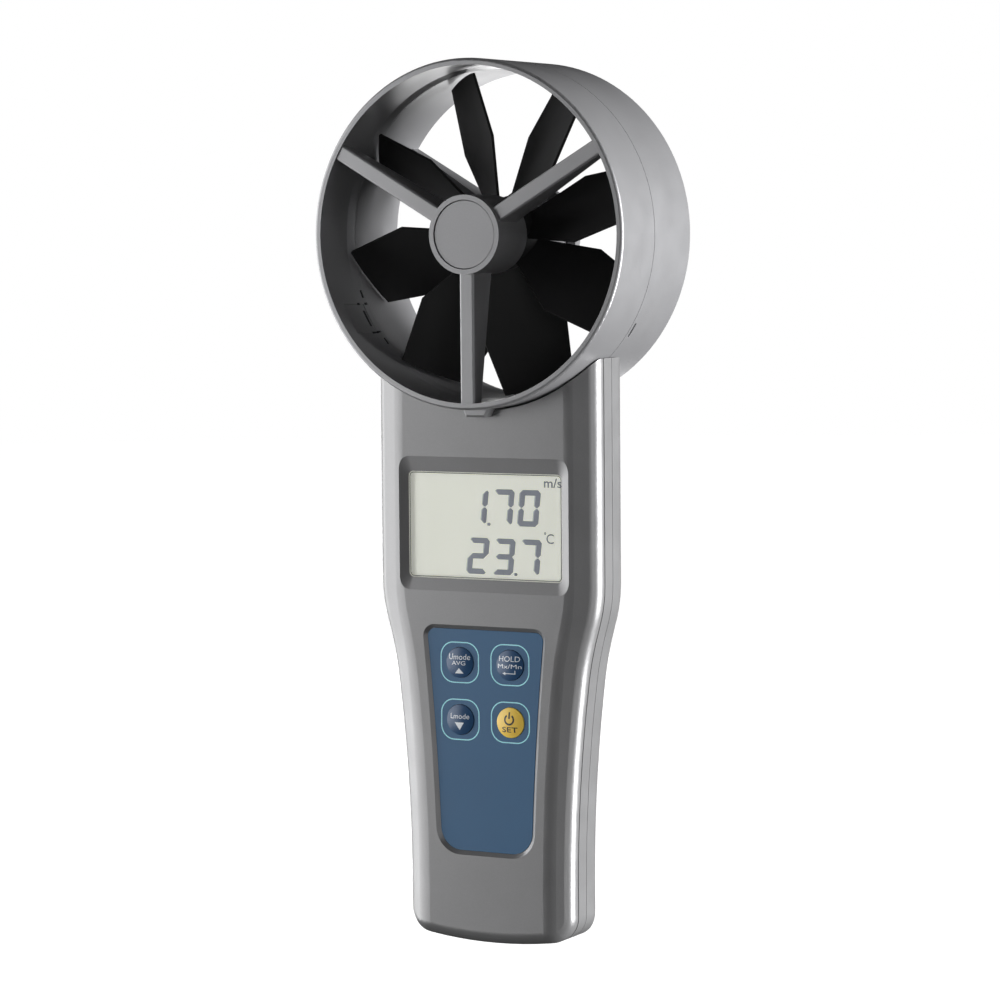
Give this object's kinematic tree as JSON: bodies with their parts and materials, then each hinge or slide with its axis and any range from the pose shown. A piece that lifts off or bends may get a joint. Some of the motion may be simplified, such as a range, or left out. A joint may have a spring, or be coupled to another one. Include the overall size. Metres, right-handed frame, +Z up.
{
  "type": "vane anemometer",
  "caption": "Hand-held vane anemometer: a round wind ring with a pitched-blade impeller on top of a waisted grip with a display and a keypad.",
  "frame": {"origin": "centre of the mouth of the tripod socket at the bottom end of the grip", "axes": "+X to the user's right as they read the display, +Y from the display side to the back, along the impeller's axis, +Z up the length of the instrument"},
  "size_m": [0.106, 0.0482, 0.2719],
  "materials": {
    "case_plastic": "satin grey moulding with a very fine grain",
    "ring_plastic": "satin grey moulding",
    "vane_plastic": "black, plain moulded",
    "hardened_steel": "ground",
    "bearing_steel": "polished",
    "screw_steel": "zinc plated",
    "window": "clear, polished",
    "lcd_glass": "satin polariser",
    "holder_plastic": "plain",
    "contact_rubber": "matte",
    "panel_film": "fine matte film",
    "key_blue": "matte",
    "key_yellow": "matte",
    "dome_metal": "bright",
    "board_laminate": "green solder mask",
    "chip_plastic": "moulded",
    "sensor_coat": "epoxy",
    "battery_jacket": "printed steel can",
    "clip_plastic": "moulded",
    "coil_copper": "enamelled winding",
    "insert_brass": "turned",
    "label_film": "printed film"
  },
  "bodies": {
    "housing": {"front_case": "case_plastic", "middle_frame": "case_plastic", "rear_case": "case_plastic", "ring_front_half": "ring_plastic", "ring_rear_half": "ring_plastic", "front_hub_cap": "ring_plastic", "rear_hub_cap": "ring_plastic", "sensor_cover": "ring_plastic", "air_temperature_sensor": "sensor_coat", "front_bearing": "bearing_steel", "rear_bearing": "bearing_steel", "speed_pickup_coil": "coil_copper", "display_window": "window", "lcd_panel": "lcd_glass", "lcd_holder": "holder_plastic", "lcd_contact_strips": "contact_rubber", "keypad_panel": "panel_film", "main_board": "board_laminate", "board_screws": "screw_steel", "microcontroller": "chip_plastic", "buzzer": "chip_plastic", "battery": "battery_jacket", "battery_clip": "clip_plastic", "case_screws": "screw_steel", "ring_screws": "screw_steel", "tripod_insert": "insert_brass", "rear_label": "label_film", "dome_switches": "dome_metal"},
    "rotor": {"impeller": "vane_plastic", "impeller_shaft": "hardened_steel"},
    "door": {"battery_door": "case_plastic"},
    "key_up_body": {"key_up": "key_blue"},
    "key_hold_body": {"key_hold": "key_blue"},
    "key_down_body": {"key_down": "key_blue"},
    "key_power_body": {"key_power": "key_yellow"}
  },
  "joints": [
    {"name": "impeller_spin", "type": "hinge", "parent": "housing", "child": "rotor", "pos_m": [0, 0.00335, 0.2189], "axis": [0, 1, 0], "continuous": true},
    {"name": "battery_door_slide", "type": "slide", "parent": "housing", "child": "door", "axis": [0, 0, -1], "range_m": [0, 0.064]},
    {"name": "key_up_press", "type": "slide", "parent": "housing", "child": "key_up_body", "axis": [0, 1, 0], "range_m": [0, 0.0006], "stiffness_N_per_m": 1500},
    {"name": "key_hold_press", "type": "slide", "parent": "housing", "child": "key_hold_body", "axis": [0, 1, 0], "range_m": [0, 0.0006], "stiffness_N_per_m": 1500},
    {"name": "key_down_press", "type": "slide", "parent": "housing", "child": "key_down_body", "axis": [0, 1, 0], "range_m": [0, 0.0006], "stiffness_N_per_m": 1500},
    {"name": "key_power_press", "type": "slide", "parent": "housing", "child": "key_power_body", "axis": [0, 1, 0], "range_m": [0, 0.0006], "stiffness_N_per_m": 1500}
  ]
}
